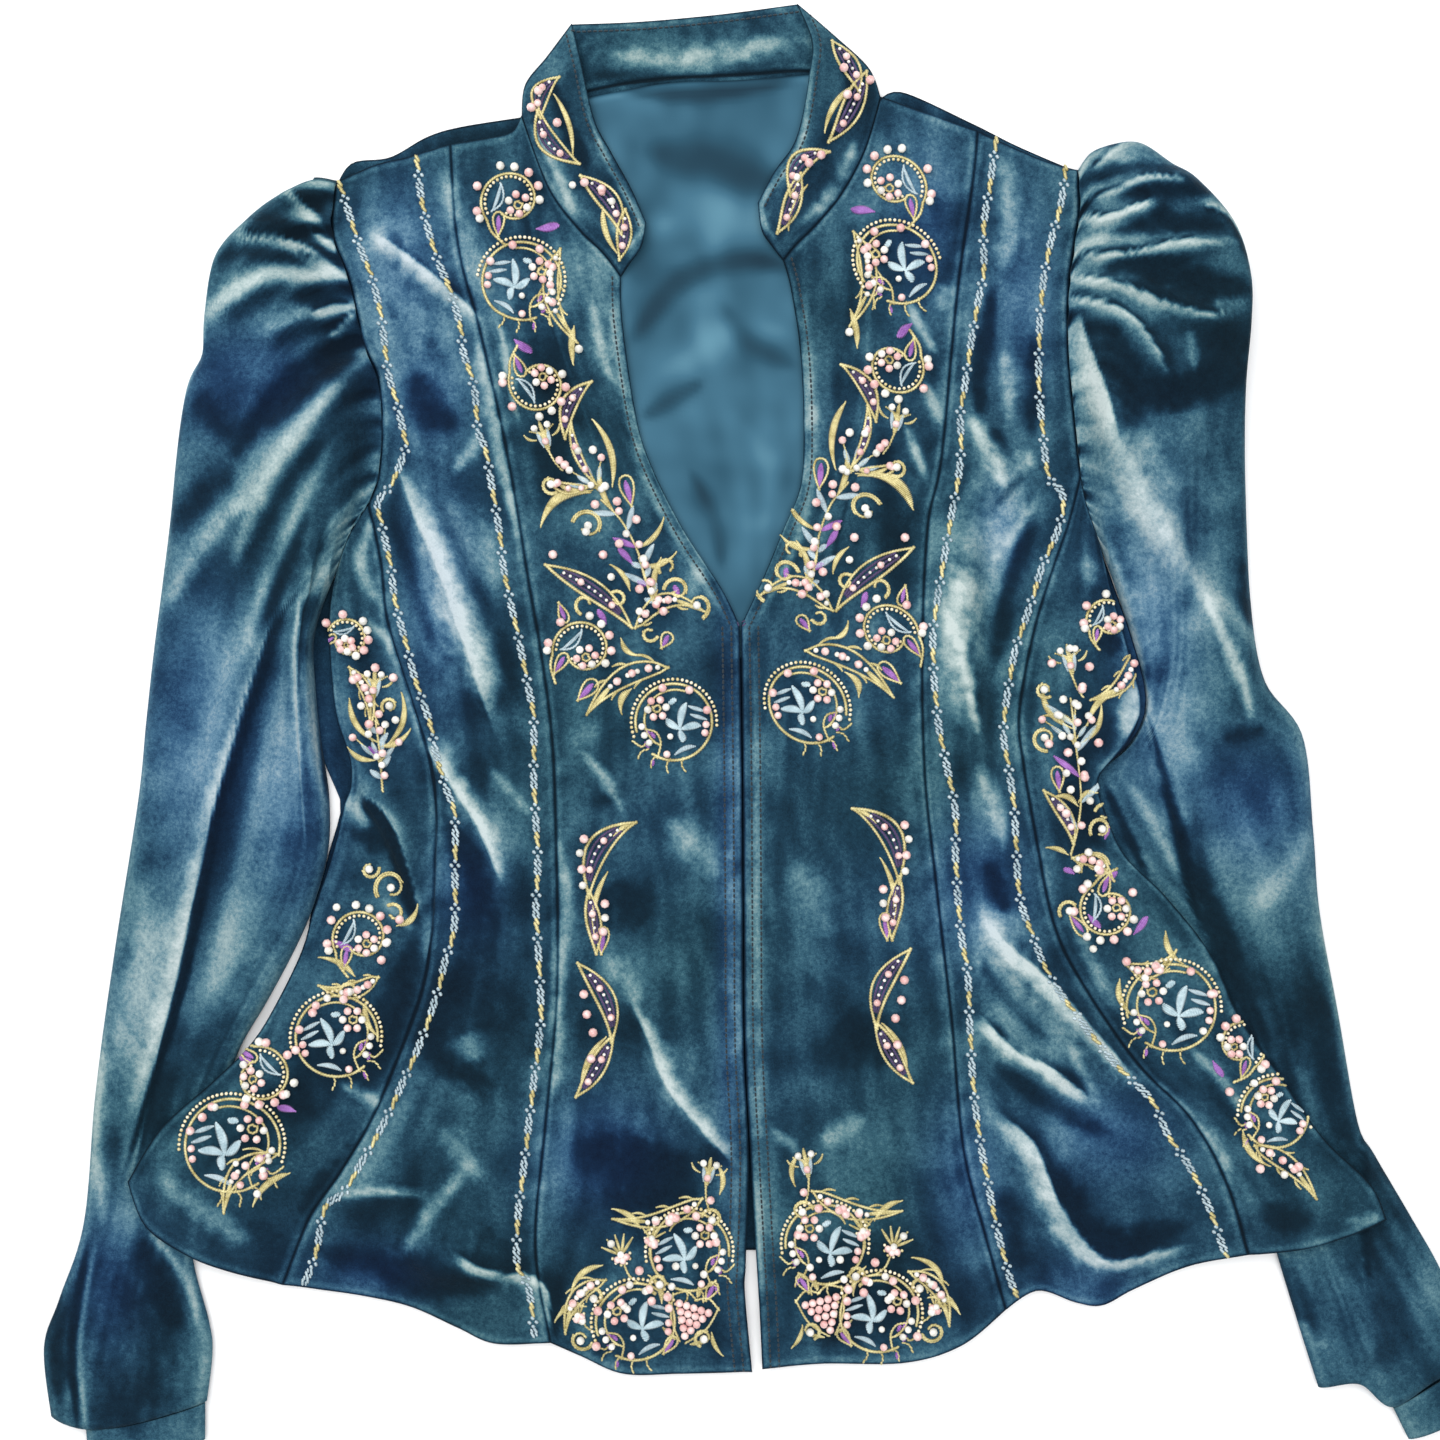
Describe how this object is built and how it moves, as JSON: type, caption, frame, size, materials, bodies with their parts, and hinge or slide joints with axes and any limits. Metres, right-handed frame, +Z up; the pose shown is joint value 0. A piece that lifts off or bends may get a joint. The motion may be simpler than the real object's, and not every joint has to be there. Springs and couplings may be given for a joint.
{
  "type": "peplum blouse",
  "caption": "Velvet blouse with a stand collar, open V neck, hook-and-eye front, gathered puff-head sleeves and a flared peplum, laid flat with its front up; embroidered and beaded panels.",
  "frame": {"origin": "middle of the bounding box in plan, on the surface that the blouse lies on", "axes": "+Z up from the surface through the front, +Y from hem to collar, +X to the right as one looks down on the front"},
  "size_m": [0.7958, 0.8006, 0.0317],
  "materials": {
    "velvet": "crushed teal-blue velvet pile, matt with pale nap highlights",
    "lining": "plain teal satin lining, softly glossy"
  },
  "bodies": {
    "root": {"back": "velvet", "back_lining": "lining", "collar_back": "velvet", "collar_front_left": "velvet", "collar_front_right": "velvet", "front_centre_left": "velvet", "front_centre_right": "velvet", "front_side_left": "velvet", "front_side_right": "velvet", "side_panel_left": "velvet", "side_panel_right": "velvet", "sleeve_left": "velvet", "sleeve_right": "velvet", "cuff_left": "velvet", "cuff_right": "velvet"}
  },
  "joints": []
}
